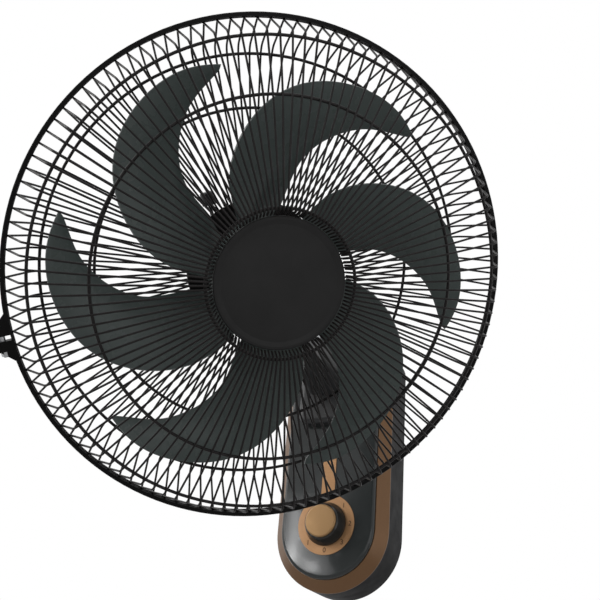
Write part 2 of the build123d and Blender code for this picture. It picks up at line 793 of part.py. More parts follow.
with BuildPart() as neck_arm:
    with BuildSketch(WALL.offset(shell_front)):
        with Locations((0, (neck_base_bottom + neck_base_top) / 2)):
            RectangleRounded(
                neck_base_width, neck_base_top - neck_base_bottom, neck_base_corner
            )
    extrude(amount=neck_base_proud)
    fillet(neck_arm.faces().sort_by(Axis.Y)[0].edges(), neck_base_edge)
    add(arm_body(0, arm_end_reach))
    with BuildSketch(NECK_SIDE):
        with Locations((tilt_axis_reach, tilt_axis_height)):
            Circle(ear_radius)
        with BuildLine():
            Polyline(
                (arm_end_reach - ear_overlap, tilt_axis_height - ear_radius),
                (tilt_axis_reach, tilt_axis_height - ear_radius),
                (tilt_axis_reach, tilt_axis_height + ear_radius),
                (arm_end_reach - ear_overlap, tilt_axis_height + ear_radius),
                close=True,
            )
        make_face()
    extrude(amount=ear_outer, both=True)
    with BuildSketch(NECK_SIDE):
        with Locations((tilt_axis_reach, tilt_axis_height)):
            Rectangle(2 * ear_radius + ear_room, 2 * ear_radius + ear_room)
    extrude(amount=ear_inner, both=True, mode=Mode.SUBTRACT)
    add(arm_body(arm_wall, arm_end_reach - arm_wall), mode=Mode.SUBTRACT)
    with BuildSketch(WALL.offset(shell_front)):
        with Locations(*neck_screw_places):
            Circle(neck_screw_radius + boss_wall)
    extrude(amount=screw_bite + neck_boss_cap)
    with BuildSketch(WALL.offset(shell_front)):
        with Locations(*neck_screw_places):
            Circle(neck_screw_radius + running_gap)
    extrude(amount=screw_bite + screw_end_room, mode=Mode.SUBTRACT)
    with BuildSketch(across_tilt_bolt(-ear_outer)):
        Circle(tilt_bolt_radius + running_gap)
    extrude(amount=2 * ear_outer, mode=Mode.SUBTRACT)
write(neck_arm, "neck_arm")

with BuildPart() as tilt_bolt:
    with BuildSketch(across_tilt_bolt(-ear_outer - seat_gap - tilt_nut_height + tilt_nut_cap)):
        Circle(tilt_bolt_radius)
    extrude(amount=2 * ear_outer + 2 * seat_gap + tilt_nut_height - tilt_nut_cap)
    with BuildSketch(across_tilt_bolt(ear_outer + seat_gap)):
        RegularPolygon(tilt_bolt_head_radius, 6)
    extrude(amount=tilt_bolt_head_height)
write(tilt_bolt, "tilt_bolt")

with BuildPart() as tilt_nut:
    with BuildSketch(across_tilt_bolt(-ear_outer - seat_gap - tilt_nut_height)):
        Circle(tilt_nut_radius)
        with PolarLocations(tilt_nut_radius, tilt_nut_lobes):
            Circle(tilt_nut_scallop, mode=Mode.SUBTRACT)
    extrude(amount=tilt_nut_height)
    with BuildSketch(across_tilt_bolt(-ear_outer - seat_gap)):
        Circle(tilt_bolt_radius + running_gap)
    extrude(amount=tilt_nut_cap - seam - tilt_nut_height, mode=Mode.SUBTRACT)
write(tilt_nut, "tilt_nut")

with BuildPart() as friction_washers:
    for side in (-1, 1):
        with BuildSketch(across_tilt_bolt(side * (ear_inner - washer_thickness / 2 - seat_gap))):
            Circle(washer_radius)
            Circle(tilt_bolt_radius + running_gap, mode=Mode.SUBTRACT)
        extrude(amount=washer_thickness / 2, both=True)
write(friction_washers, "friction_washers")

# === Elbow ======================================================================================
with BuildPart() as elbow:
    with BuildSketch(elbow_place(table_bottom, 0, swing_axis_reach)):
        Circle(table_radius)
    extrude(amount=table_top - table_bottom)
    fillet(elbow.edges().sort_by(Axis(tilt_point, head_up))[0], elbow_edge)
    with BuildSketch(ELBOW_SIDE):
        Circle(knuckle_radius)
        with BuildLine():
            Polyline(
                (0, -elbow_beam_half_height),
                (swing_axis_reach, table_bottom + elbow_edge),
                (swing_axis_reach, table_top),
                (0, elbow_beam_half_height),
                close=True,
            )
        make_face()
    extrude(amount=knuckle_half_width, both=True)
    with BuildSketch(elbow_place(table_top, -link_pivot_radius, swing_axis_reach)):
        Circle(link_post_radius)
    extrude(amount=link_post_top - table_top)
    with BuildSketch(elbow_place(table_bottom, 0, swing_axis_reach)):
        Circle(swing_pin_radius + running_gap)
    extrude(amount=table_top - table_bottom, mode=Mode.SUBTRACT)
    with BuildSketch(elbow_place(table_bottom, 0, swing_axis_reach)):
        Circle(swing_pin_flange_radius + seam)
    extrude(amount=swing_pin_flange_height, mode=Mode.SUBTRACT)
    with BuildSketch(across_tilt_bolt(-knuckle_half_width)):
        Circle(tilt_bolt_radius + running_gap)
    extrude(amount=2 * knuckle_half_width, mode=Mode.SUBTRACT)
write(elbow, "elbow")

link_head_bottom = link_post_top + link_thickness + 2 * link_play
with BuildPart() as link_pin:
    with BuildSketch(elbow_place(link_post_top, -link_pivot_radius, swing_axis_reach)):
        Circle(link_pin_radius)
    extrude(amount=link_pin_top - link_post_top)
    with BuildSketch(elbow_place(link_head_bottom, -link_pivot_radius, swing_axis_reach)):
        Circle(link_pin_radius + link_pin_head)
    extrude(amount=link_pin_top - link_head_bottom)
write(link_pin, "link_pin")

with BuildPart() as swing_pin:
    with BuildSketch(elbow_place(table_bottom + seam, 0, swing_axis_reach)):
        Circle(swing_pin_radius)
    extrude(amount=swing_boss_top + swing_nut_height - table_bottom)
    with BuildSketch(elbow_place(table_bottom + seam, 0, swing_axis_reach)):
        Circle(swing_pin_flange_radius)
    extrude(amount=swing_pin_flange_height - seam)
write(swing_pin, "swing_pin")

washer_bottom = table_top + seat_gap
with BuildPart() as thrust_washer:
    with BuildSketch(elbow_place(washer_bottom, 0, swing_axis_reach)):
        Circle(swing_boss_radius)
        Circle(swing_pin_radius + running_gap, mode=Mode.SUBTRACT)
    extrude(amount=thrust_washer_thickness)
write(thrust_washer, "thrust_washer")

with BuildPart() as swing_nut:
    with BuildSketch(elbow_place(swing_boss_top + seat_gap, 0, swing_axis_reach)):
        RegularPolygon(swing_nut_radius, 6)
        Circle(swing_pin_radius + running_gap, mode=Mode.SUBTRACT)
    extrude(amount=swing_nut_height - seat_gap)
write(swing_nut, "swing_nut")

# === Motor ======================================================================================
boss_bottom = washer_bottom + thrust_washer_thickness + seat_gap
bearing_front = motor_front + motor_face_thickness
front_bearing_rear = bearing_front + bearing_length
rear_bearing_front = rear_shield_rear - bearing_length
motor_lug_width = motor_screw_circle - motor_radius + 2 * motor_lug_sink
motor_lug_middle = (motor_screw_circle + motor_radius) / 2 - motor_lug_sink

with BuildPart() as motor_front_shield:
    add(
        profile(
            [
                (bearing_radius - bearing_seat, -motor_front),
                (collar_radius - shield_wall, -motor_front),
                (collar_radius - shield_wall, -collar_front),
                (collar_radius, -collar_front),
                (collar_radius, -motor_front),
                (motor_radius, -motor_front),
                (motor_radius, -front_shield_rear),
                (motor_radius - shield_wall, -front_shield_rear),
                (motor_radius - shield_wall, -bearing_front),
                (bearing_radius + shield_wall, -bearing_front),
                (bearing_radius + shield_wall, -front_bearing_rear),
                (bearing_radius + running_gap, -front_bearing_rear),
                (bearing_radius + running_gap, -bearing_front),
                (bearing_radius - bearing_seat, -bearing_front),
            ]
        )
    )
    revolve(axis=SHAFT_AXIS)
    with BuildSketch(HEAD.offset(-front_shield_rear)):
        with PolarLocations(motor_screw_circle, motor_screw_count, start_angle=screw_turn):
            Circle(motor_lug_radius)
        with PolarLocations(motor_lug_middle, motor_screw_count, start_angle=screw_turn):
            Rectangle(motor_lug_width, 2 * motor_lug_radius)
    extrude(amount=motor_lug_radius)
    with BuildSketch(HEAD.offset(-front_shield_rear)):
        with PolarLocations(motor_screw_circle, motor_screw_count, start_angle=screw_turn):
            Circle(motor_screw_radius + running_gap)
    extrude(amount=motor_lug_radius, mode=Mode.SUBTRACT)
write(motor_front_shield, "motor_front_shield")

leg_half_width = swing_boss_radius
boss_level_bottom = boss_bottom - shaft_height
boss_level_top = swing_boss_top - shaft_height
leg_top = leg_sink - motor_radius
with BuildPart() as motor_rear_shield:
    add(
        profile(
            [
                (motor_radius - shield_wall, -stator_rear),
                (motor_radius, -stator_rear),
                (motor_radius, -rear_shield_rear),
                (shaft_radius + shaft_room, -rear_shield_rear),
                (shaft_radius + shaft_room, -rear_shield_rear + bearing_seat),
                (bearing_radius + running_gap, -rear_shield_rear + bearing_seat),
                (bearing_radius + running_gap, -rear_bearing_front + bearing_seat),
                (bearing_radius + shield_wall, -rear_bearing_front + bearing_seat),
                (bearing_radius + shield_wall, -rear_shield_rear + shield_wall),
                (motor_radius - shield_wall, -rear_shield_rear + shield_wall),
            ]
        )
    )
    revolve(axis=SHAFT_AXIS)
    with BuildSketch(head_place(head_level(boss_level_top), shaft_offset, cage_reach)):
        Circle(leg_half_width)
        with Locations((0, rear_shield_rear - cage_reach)):
            Rectangle(2 * leg_half_width, rear_shield_rear - cage_reach,
                      align=(Align.CENTER, Align.MAX))
    extrude(amount=leg_top - boss_level_top)
    with BuildSketch(head_place(head_level(boss_level_bottom), shaft_offset, cage_reach)):
        Circle(swing_boss_radius)
    extrude(amount=boss_level_top - boss_level_bottom)
    with BuildSketch(HEAD.offset(shield_wall - rear_shield_rear)):
        Circle(motor_radius - shield_wall)
        Circle(bearing_radius + shield_wall, mode=Mode.SUBTRACT)
    extrude(
        amount=rear_shield_rear - cage_reach + swing_boss_radius + leg_room, mode=Mode.SUBTRACT
    )
    with BuildSketch(HEAD.offset(-stator_rear)):
        Circle(motor_radius)
    extrude(amount=stator_rear - cage_reach + swing_boss_radius + leg_room, mode=Mode.SUBTRACT)
    with BuildSketch(HEAD.offset(bearing_seat - rear_bearing_front)):
        Circle(motor_radius - shield_wall)
    extrude(amount=rear_room, mode=Mode.SUBTRACT)
    with BuildSketch(head_place(head_level(boss_level_bottom), shaft_offset, cage_reach)):
        Circle(swing_pin_radius + running_gap)
    extrude(amount=boss_level_top - boss_level_bottom, mode=Mode.SUBTRACT)
    with BuildSketch(head_place(head_level(boss_level_top), shaft_offset, cage_reach)):
        Circle(swing_nut_radius + swing_nut_room)
    extrude(amount=swing_nut_height + 2 * swing_nut_room, mode=Mode.SUBTRACT)
    with BuildSketch(HEAD.offset(-stator_rear)):
        with PolarLocations(motor_screw_circle, motor_screw_count, start_angle=screw_turn):
            Circle(motor_lug_radius)
        with PolarLocations(motor_lug_middle, motor_screw_count, start_angle=screw_turn):
            Rectangle(motor_lug_width, 2 * motor_lug_radius)
    extrude(amount=-motor_lug_radius)
    with BuildSketch(HEAD.offset(-stator_rear)):
        with PolarLocations(motor_screw_circle, motor_screw_count, start_angle=screw_turn):
            Circle(motor_screw_radius + running_gap)
    extrude(amount=-motor_lug_radius, mode=Mode.SUBTRACT)
write(motor_rear_shield, "motor_rear_shield")

with BuildPart() as stator:
    add(
        profile(
            [
                (rotor_radius + air_gap, -front_shield_rear - seam),
                (stator_radius, -front_shield_rear - seam),
                (stator_radius, -stator_rear + seam),
                (rotor_radius + air_gap, -stator_rear + seam),
            ]
        )
    )
    revolve(axis=SHAFT_AXIS)
write(stator, "stator")

with BuildPart() as windings:
    for near, far in (
        (front_shield_rear - winding_depth, front_shield_rear),
        (stator_rear, stator_rear + winding_depth),
    ):
        with BuildSketch(HEAD.offset(-far)):
            Circle(winding_outer_radius)
            Circle(winding_inner_radius, mode=Mode.SUBTRACT)
        extrude(amount=far - near)
    fillet(windings.edges().filter_by(GeomType.CIRCLE), winding_edge)
write(windings, "windings")

with BuildPart() as rotor_core:
    with BuildSketch(HEAD.offset(-stator_rear + seam)):
        Circle(rotor_radius)
        Circle(shaft_radius, mode=Mode.SUBTRACT)
    extrude(amount=stator_rear - front_shield_rear - 2 * seam)
write(rotor_core, "rotor_core")

worm_pitch = pi * gear_module
worm_length = worm_pitch * worm_turns
thread_root = shaft_radius - worm_sink
with BuildPart() as worm_thread:
    with BuildLine() as thread_line:
        Helix(worm_pitch, worm_length, thread_root)
    with BuildSketch(Plane.XZ):
        with BuildLine():
            Polyline(
                (thread_root, -worm_base_width / 2),
                (worm_radius, -worm_tip_width / 2),
                (worm_radius, worm_tip_width / 2),
                (thread_root, worm_base_width / 2),
                close=True,
            )
        make_face()
    sweep(path=thread_line.line, is_frenet=True)

with BuildPart() as shaft:
    with BuildSketch(HEAD.offset(-shaft_rear)):
        Circle(shaft_radius)
    extrude(amount=shaft_rear + shaft_front)
    add(worm_thread.part.moved(HEAD.offset(-crank_axis_depth - worm_length / 2).location))
    with BuildSketch(
        Plane(
            origin=cage_point + head_forward * drive_pin_height,
            x_dir=head_up,
            z_dir=head_right,
        )
    ):
        Circle(drive_pin_radius + running_gap)
    extrude(amount=shaft_radius + pin_bore_past, both=True, mode=Mode.SUBTRACT)
write(shaft, "shaft")

with BuildPart() as bearings:
    for rear in (front_bearing_rear, rear_shield_rear - bearing_seat - seat_gap):
        with BuildSketch(HEAD.offset(-rear)):
            Circle(bearing_radius)
            Circle(shaft_radius + running_gap, mode=Mode.SUBTRACT)
        extrude(amount=bearing_length - seam)
write(bearings, "bearings")

with BuildPart() as motor_screws:
    with BuildSketch(HEAD.offset(-stator_rear - motor_lug_radius)):
        with PolarLocations(motor_screw_circle, motor_screw_count, start_angle=screw_turn):
            Circle(motor_screw_radius)
    extrude(amount=stator_rear - front_shield_rear + 2 * motor_lug_radius)
    with BuildSketch(HEAD.offset(-stator_rear - motor_lug_radius)):
        with PolarLocations(motor_screw_circle, motor_screw_count, start_angle=screw_turn):
            RegularPolygon(motor_nut_share * motor_screw_radius, 6)
    extrude(amount=-motor_screw_radius)
write(motor_screws, "motor_screws")

rod_height = spindle_top + clutch_travel + clutch_rod_gap
with BuildPart() as motor_cover:
    add(
        profile(
            [
                (motor_radius + seam, -cover_front),
                (cover_radius - cover_wall, -cover_front),
                (cover_radius, -cover_front - cover_wall),
                (cover_radius, -cover_bend),
                (cover_rear_radius, -cover_rear),
                (0, -cover_rear),
                (0, -cover_rear + cover_wall),
                (cover_rear_radius - cover_wall, -cover_rear + cover_wall),
                (cover_radius - cover_wall, -cover_bend),
                (cover_radius - cover_wall, -cover_front - cover_wall),
                (motor_radius + seam, -cover_front - cover_wall),
            ]
        )
    )
    revolve(axis=SHAFT_AXIS)
    with BuildSketch(head_level(leg_top)):
        with Locations((sum(cover_gate_x) / 2, sum(cover_gate_depth) / 2)):
            Rectangle(
                cover_gate_x[1] - cover_gate_x[0], cover_gate_depth[1] - cover_gate_depth[0]
            )
    extrude(amount=-cover_radius, mode=Mode.SUBTRACT)
    with BuildSketch(HEAD.offset(-cover_rear)):
        with GridLocations(0, cover_slot_pitch, 1, cover_slots):
            SlotOverall(cover_slot_length, cover_slot_width)
    extrude(amount=cover_wall, mode=Mode.SUBTRACT)
    with BuildSketch(head_place(head_level(0), wheel_axis_x, crank_axis_depth)):
        Circle(clutch_rod_radius + clutch_hole_room)
    extrude(amount=cover_radius, mode=Mode.SUBTRACT)
write(motor_cover, "motor_cover")

# === Swing gearing ==============================================================================
spindle_bottom = case_bottom + case_overlap
drum_radius = gear_module * (crank_teeth / 2 + tooth_addendum) + gear_room
pinion_room = gear_module * (pinion_teeth / 2 + tooth_addendum) + gear_room
drum_top = crank_gear_top + gear_room + case_wall
with BuildPart() as gear_case:
    with BuildSketch(HEAD.offset(-case_rear)):
        with Locations((sum(case_upper_x) / 2, sum(case_upper_y) / 2)):
            Rectangle(case_upper_x[1] - case_upper_x[0], case_upper_y[1] - case_upper_y[0])
    extrude(amount=case_rear - rear_shield_rear)
    fillet(gear_case.edges().filter_by(Axis(cage_point, head_forward)), case_edge_radius)
    with BuildSketch(head_place(head_level(case_bottom), crank_axis_x, crank_axis_depth)):
        Circle(drum_radius + case_wall)
    extrude(amount=drum_top - case_bottom)
    with BuildSketch(head_place(head_level(case_bottom), wheel_axis_x, crank_axis_depth)):
        Circle(case_column_radius)
    extrude(amount=case_upper_y[0] + case_overlap - case_bottom)
    with BuildSketch(HEAD.offset(-case_rear + case_wall)):
        with Locations((sum(case_upper_x) / 2, sum(case_upper_y) / 2)):
            Rectangle(
                case_upper_x[1] - case_upper_x[0] - 2 * case_wall,
                case_upper_y[1] - case_upper_y[0] - 2 * case_wall,
            )
    extrude(amount=case_rear - rear_shield_rear - case_wall, mode=Mode.SUBTRACT)
    gear_floor = case_bottom + case_wall
    with BuildSketch(head_place(head_level(gear_floor), crank_axis_x, crank_axis_depth)):
        Circle(drum_radius)
        with Locations((wheel_axis_x - crank_axis_x, 0)):
            Circle(pinion_room)
    extrude(amount=drum_top - case_wall - gear_floor, mode=Mode.SUBTRACT)
    with BuildSketch(head_place(head_level(case_bottom), crank_axis_x, crank_axis_depth)):
        Circle(crank_shaft_radius + running_gap)
    extrude(amount=case_wall, mode=Mode.SUBTRACT)
    with BuildSketch(head_place(head_level(spindle_bottom), wheel_axis_x, crank_axis_depth)):
        Circle(pinion_spindle_radius + running_gap)
    extrude(amount=-spindle_bottom, mode=Mode.SUBTRACT)
    with BuildSketch(head_place(head_level(0), wheel_axis_x, crank_axis_depth)):
        Circle(clutch_rod_radius + running_gap)
    extrude(amount=case_upper_y[1], mode=Mode.SUBTRACT)
write(gear_case, "gear_case")

with BuildPart() as worm_wheel:
    add(
        toothed_disc(
            head_place(head_level(-gear_width / 2), wheel_axis_x, crank_axis_depth),
            wheel_teeth,
            gear_width,
            pinion_spindle_radius + running_gap,
            180 / wheel_teeth,
        )
    )
write(worm_wheel, "worm_wheel")

with BuildPart() as pinion_spindle:
    with BuildSketch(
        head_place(head_level(spindle_bottom + seam), wheel_axis_x, crank_axis_depth)
    ):
        Circle(pinion_spindle_radius)
    extrude(amount=spindle_top - spindle_bottom - seam)
    add(
        toothed_disc(
            head_place(
                head_level(crank_gear_top - gear_width), wheel_axis_x, crank_axis_depth
            ),
            pinion_teeth,
            gear_width,
            pinion_spindle_radius / 2,
        )
    )
write(pinion_spindle, "pinion_spindle")

with BuildPart() as crank_gear:
    add(
        toothed_disc(
            head_place(
                head_level(crank_gear_top - gear_width), crank_axis_x, crank_axis_depth
            ),
            crank_teeth,
            gear_width,
            crank_shaft_radius,
            180 / crank_teeth,
        )
    )
write(crank_gear, "crank_gear")

disc_top = case_bottom - seat_gap
crank_pin_x = crank_axis_x + crank_radius * cos(radians(crank_phase))
crank_pin_depth = crank_axis_depth - crank_radius * sin(radians(crank_phase))
link_bottom = link_post_top + link_play - shaft_height
crank_pin_bottom = link_bottom - 2 * link_play - crank_collar_height
with BuildPart() as crank_shaft:
    with BuildSketch(head_place(head_level(disc_top), crank_axis_x, crank_axis_depth)):
        Circle(crank_shaft_radius)
    extrude(amount=crank_gear_top - disc_top)
    with BuildSketch(head_place(head_level(disc_top), crank_axis_x, crank_axis_depth)):
        Circle(crank_disc_radius)
    extrude(amount=-crank_disc_thickness)
    with BuildSketch(head_place(head_level(disc_top), crank_pin_x, crank_pin_depth)):
        Circle(crank_pin_radius)
    extrude(amount=crank_pin_bottom - disc_top)
    with BuildSketch(head_place(head_level(crank_pin_bottom), crank_pin_x, crank_pin_depth)):
        Circle(link_eye_radius + crank_collar_lip)
    extrude(amount=crank_collar_height)
write(crank_shaft, "crank_shaft")

link_way = head_right * cos(radians(link_phase)) + head_forward * sin(radians(link_phase))
link_pivot = elbow_place(link_post_top + link_play, -link_pivot_radius, swing_axis_reach)
with BuildPart() as swing_link:
    with BuildSketch(Plane(origin=link_pivot.origin, x_dir=link_way, z_dir=head_up)):
        Circle(link_pivot_boss)
        with Locations((link_length, 0)):
            Circle(link_eye_radius + link_eye_wall)
        with BuildLine():
            outer = ThreePointArc(
                (0, -link_half_width),
                (link_length / 2, link_sag - link_half_width),
                (link_length, -link_half_width),
            )
            end = Line(outer @ 1, (link_length, link_half_width))
            inner = ThreePointArc(
                end @ 1, (link_length / 2, link_sag + link_half_width), (0, link_half_width)
            )
            Line(inner @ 1, outer @ 0)
        make_face()
        Circle(link_pin_radius + running_gap, mode=Mode.SUBTRACT)
        with Locations((link_length, 0)):
            Circle(link_eye_radius, mode=Mode.SUBTRACT)
    extrude(amount=link_thickness)
write(swing_link, "swing_link")

with BuildPart() as clutch_knob:
    with BuildSketch(head_place(head_level(rod_height), wheel_axis_x, crank_axis_depth)):
        Circle(clutch_rod_radius)
    extrude(amount=clutch_knob_bottom + clutch_rod_sink - rod_height)
    with BuildSketch(head_place(head_level(clutch_knob_bottom), wheel_axis_x, crank_axis_depth)):
        Circle(clutch_knob_radius)
    extrude(amount=clutch_knob_height)
    fillet(clutch_knob.faces().sort_by(Axis(cage_point, head_up))[-1].edges(), clutch_knob_edge)
write(clutch_knob, "clutch_knob")

# === Guard cage =================================================================================


def wire_start(rim_height, shoulder):
    """The outer end of a wire that comes from its shoulder and lies against its rim ring."""
    across = rim_radius - shoulder[0]
    along = rim_height - shoulder[1]
    distance = hypot(across, along)
    aside = asin((rim_wire_radius + wire_radius + weld_gap) / distance)
    way = atan2(along, across) + copysign(aside, along)
    length = distance + wire_past_rim
    return shoulder[0] + length * cos(way), shoulder[1] + length * sin(way)


def radial_wire(points, bends):
    """One guard wire, from the hoop to the middle."""
    with BuildPart() as wire:
        with BuildLine(HEAD_PROFILE) as line:
            FilletPolyline(*points, radius=bends)
        with BuildSketch(Plane(origin=line.line @ 0, z_dir=line.line % 0)):
            Circle(wire_radius)
        sweep(path=line.line)
    return wire.part


def ring_beside(points, bends, radius):
    """Where a ring of this radius lies against the wires, on the side of the blades."""
    with BuildLine() as line:
        FilletPolyline(*points, radius=bends)
    reach = wire_radius + ring_wire_radius + weld_gap
    for outer, inner in zip(points, points[1:]):
        if inner[0] <= radius <= outer[0]:
            share = (outer[0] - radius) / (outer[0] - inner[0])
            touching = outer[1] + share * (inner[1] - outer[1])
    clear = 0.0
    for _ in range(ring_fit_steps):
        height = (clear + touching) / 2
        if line.line.distance_to(Vector(radius, height)) > reach:
            clear = height
        else:
            touching = height
    return radius, clear


def round_wires(rings):
    """Ring wires, each given as its thickness and the place of its middle."""
    with BuildPart() as group:
        for thickness, place in rings:
            with BuildSketch(HEAD_PROFILE):
                with Locations(place):
                    Circle(thickness)
            revolve(axis=SHAFT_AXIS)
    return group


front_wire_start = wire_start(front_rim_height, front_shoulder)
rear_wire_start = wire_start(rear_rim_height, rear_shoulder)
front_points = [front_wire_start, front_shoulder, front_middle, front_inner, front_end]
rear_points = [rear_wire_start, rear_shoulder, rear_middle, rear_end]
with BuildPart() as front_guard_wires:
    add(around_shaft(radial_wire(front_points, front_bends), wires_per_guard))
write(front_guard_wires, "front_guard_wires")

with BuildPart() as rear_guard_wires:
    add(around_shaft(radial_wire(rear_points, rear_bends), wires_per_guard))
write(rear_guard_wires, "rear_guard_wires")

front_guard_rings = round_wires(
    [(rim_wire_radius, (rim_radius, front_rim_height))]
    + [
        (ring_wire_radius, ring_beside(front_points, front_bends, radius))
        for radius in front_ring_radii
    ]
)
write(front_guard_rings, "front_guard_rings")

rear_guard_rings = round_wires(
    [(rim_wire_radius, (rim_radius, rear_rim_height))]
    + [
        (ring_wire_radius, ring_beside(rear_points, rear_bends, radius))
        for radius in rear_ring_radii
    ]
)
write(rear_guard_rings, "rear_guard_rings")

with BuildPart() as centre_disc:
    add(
        profile(
            [
                (0, disc_front - disc_dish),
                (disc_radius - disc_rim, disc_front - disc_dish),
                (disc_radius - disc_rim + disc_slope, disc_front),
                (disc_radius - disc_edge, disc_front),
                (disc_radius, disc_front - disc_edge),
                (disc_radius, disc_front - disc_thickness),
                (disc_radius - disc_lip, disc_front - disc_thickness),
                (disc_radius - disc_lip, disc_front - disc_dish - disc_sheet),
                (0, disc_front - disc_dish - disc_sheet),
            ]
        )
    )
    revolve(axis=SHAFT_AXIS)
write(centre_disc, "centre_disc")

plate_rear = motor_front
with BuildPart() as rear_guard_plate:
    with BuildSketch(HEAD.offset(-plate_rear)):
        Circle(plate_radius)
        Circle(collar_radius + running_gap, mode=Mode.SUBTRACT)
    extrude(amount=plate_thickness)
write(rear_guard_plate, "rear_guard_plate")

nut_rear = plate_rear - plate_thickness
with BuildPart() as guard_nut:
    with BuildSketch(HEAD.offset(-nut_rear)):
        Circle(guard_nut_radius)
        with PolarLocations(guard_nut_radius + grip_offset, guard_nut_grips):
            Circle(grip_share * guard_nut_radius, mode=Mode.SUBTRACT)
        Circle(collar_radius + running_gap, mode=Mode.SUBTRACT)
    extrude(amount=nut_rear - collar_front)
write(guard_nut, "guard_nut")

hoop_channel_radius = hoop_radius - hoop_strap
lug_face = clamp_gap / 2 + lug_thickness
with BuildPart() as hoop:
    add(
        profile(
            [
                (hoop_lip_radius, hoop_rear),
                (hoop_radius - hoop_edge, hoop_rear),
                (hoop_radius, hoop_rear + hoop_edge),
                (hoop_radius, hoop_front - hoop_edge),
                (hoop_radius - hoop_edge, hoop_front),
                (hoop_lip_radius, hoop_front),
                (hoop_lip_radius, hoop_front - hoop_flange),
                (hoop_channel_radius, hoop_front - hoop_flange),
                (hoop_channel_radius, hoop_rear + hoop_flange),
                (hoop_lip_radius, hoop_rear + hoop_flange),
            ]
        )
    )
    revolve(axis=SHAFT_AXIS)
    with BuildSketch(CLAMP):
        for side in (-1, 1):
            with BuildLine():
                Polyline(
                    (-hoop_radius + hoop_strap / 2, side * clamp_gap / 2),
                    (-hoop_radius - lug_reach, side * clamp_gap / 2),
                    (-hoop_radius - lug_reach, side * lug_face),
                    (-hoop_radius - lug_reach / 2, side * lug_face),
                    (-hoop_radius + hoop_strap / 2, side * (clamp_gap / 2 + lug_gusset)),
                    close=True,
                )
            make_face()
    extrude(amount=lug_half_depth, both=True)
    with BuildSketch(CLAMP):
        with Locations((-hoop_radius, 0)):
            Rectangle(2 * lug_gusset + 2 * lug_reach, clamp_gap)
    extrude(amount=2 * hoop_half_depth, both=True, mode=Mode.SUBTRACT)
    for side in (-1, 1):
        with BuildSketch(beside_clamp(side * lug_face)):
            Circle(clamp_well_share * clamp_screw_radius)
        extrude(amount=side * lug_gusset, mode=Mode.SUBTRACT)
    with BuildSketch(beside_clamp(0)):
        Circle(clamp_screw_radius + running_gap)
    extrude(amount=lug_gusset + clamp_gap, both=True, mode=Mode.SUBTRACT)
write(hoop, "hoop")

with BuildPart() as clamp_screw:
    with BuildSketch(beside_clamp(-lug_face - clamp_nut_height - clamp_screw_end)):
        Circle(clamp_screw_radius)
    extrude(amount=2 * lug_face + clamp_nut_height + clamp_screw_end)
    with BuildSketch(beside_clamp(lug_face)):
        Circle(clamp_head_share * clamp_screw_radius)
    extrude(amount=clamp_nut_height)
    fillet(clamp_screw.faces().sort_by(Axis(clamp_middle, clamp_up))[-1].edges(), clamp_head_edge)
write(clamp_screw, "clamp_screw")

with BuildPart() as clamp_nut:
    with BuildSketch(beside_clamp(-lug_face - clamp_nut_height)):
        RegularPolygon(clamp_head_share * clamp_screw_radius, 6)
        Circle(clamp_screw_radius + running_gap, mode=Mode.SUBTRACT)
    extrude(amount=clamp_nut_height)
write(clamp_nut, "clamp_nut")

# === Impeller ===================================================================================
blade_root_radius = hub_radius - blade_root_sink


def blade_point(station_point, height):
    """A place on a blade's edge, from its share of the way to the hoop and its angle."""
    share, behind = station_point
    angle = radians(blade_phase + behind)
    radius = blade_root_radius + share * (hoop_radius - blade_root_radius)
    return (
        cage_point
        + head_right * radius * cos(angle)
        + head_up * radius * sin(angle)
        + head_forward * height
    )


def blade_section(leading, trailing, leading_height, trailing_height):
    """A thin, slightly bowed section from the leading edge to the trailing edge."""
    start = blade_point(leading, leading_height)
    chord = blade_point(trailing, trailing_height) - start
    across = chord.normalized()
    lift = head_forward - across * head_forward.dot(across)
    length = chord.length
    rise = blade_camber * length
    half = blade_thickness / 2
    with BuildSketch(Plane(origin=start, x_dir=across, z_dir=across.cross(lift))) as section:
        with BuildLine():
            under = ThreePointArc((0, -half), (length / 2, rise - half), (length, -half))
            edge = Line(under @ 1, (length, half))
            over = ThreePointArc(edge @ 1, (length / 2, rise + half), (0, half))
            Line(over @ 1, under @ 0)
        make_face()
    return section.sketch


with BuildPart() as one_blade:
    loft([blade_section(*station) for station in blade_stations])

with BuildPart() as impeller:
    add(
        profile(
            [
                (shaft_radius + running_gap, hub_rear),
                (hub_boss_radius, hub_rear),
                (hub_boss_radius, hub_front - hub_wall),
                (hub_radius - hub_wall - hub_edge_radius, hub_front - hub_wall),
                (hub_radius - hub_wall, hub_front - hub_wall - hub_edge_radius),
                (hub_radius - hub_wall, hub_rear),
                (hub_radius, hub_rear),
                (hub_radius, hub_front - hub_edge_radius),
                (hub_radius - hub_edge_radius, hub_front),
                (shaft_radius + running_gap, hub_front),
            ]
        )
    )
    revolve(axis=SHAFT_AXIS)
    with BuildSketch(HEAD.offset(hub_rear + hub_edge_radius)):
        with PolarLocations((hub_radius + hub_boss_radius - hub_wall) / 2, hub_ribs):
            Rectangle(hub_radius - hub_boss_radius, hub_wall)
    extrude(amount=hub_front - hub_rear - hub_edge_radius - hub_wall / 2)
    with BuildPart(mode=Mode.PRIVATE) as hub_room:
        with BuildSketch(HEAD.offset(hub_rear)):
            Circle(hub_radius - hub_wall / 2)
        extrude(amount=hub_front - hub_rear, both=True)
    add(around_shaft(one_blade.part - hub_room.part, blade_count))
    with BuildSketch(HEAD.offset(hub_rear)):
        Rectangle(drive_pin_length + 2 * drive_pin_room, 2 * (drive_pin_radius + running_gap))
    extrude(amount=drive_pin_height + drive_pin_radius - hub_rear + seam, mode=Mode.SUBTRACT)
write(impeller, "impeller")

